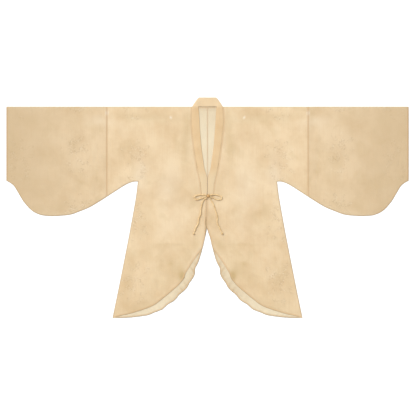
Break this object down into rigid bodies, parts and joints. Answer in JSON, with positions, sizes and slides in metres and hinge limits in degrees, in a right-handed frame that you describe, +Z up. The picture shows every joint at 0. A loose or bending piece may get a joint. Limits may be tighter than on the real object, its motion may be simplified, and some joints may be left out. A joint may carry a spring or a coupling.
{
  "type": "open-front jacket",
  "caption": "Open-front jacket laid flat: wide lute-shaped sleeves, narrow collar band, cut-away hem with a back vent, and a tie bow at the chest.",
  "frame": {"origin": "centre of the garment's box, on the surface that it lies on", "axes": "+X along the sleeves to the picture's right, +Y from hem to collar, +Z up out of the surface"},
  "size_m": [2.012, 1.1029, 0.0131],
  "materials": {
    "body_silk": "semi-sheer cream silk gauze with a tonal sprig weave",
    "sleeve_silk": "the same silk, a little deeper towards the cuff",
    "collar_silk": "doubled silk band",
    "tie_silk": "narrow silk cord"
  },
  "bodies": {
    "root": {"body_left": "body_silk", "body_right": "body_silk", "sleeve_left": "sleeve_silk", "sleeve_right": "sleeve_silk", "collar": "collar_silk", "tie_loop_left": "tie_silk", "tie_loop_right": "tie_silk", "tie_tail_left": "tie_silk", "tie_tail_right": "tie_silk", "bow_knot": "tie_silk", "end_knot_left": "tie_silk", "end_knot_right": "tie_silk"}
  },
  "joints": []
}
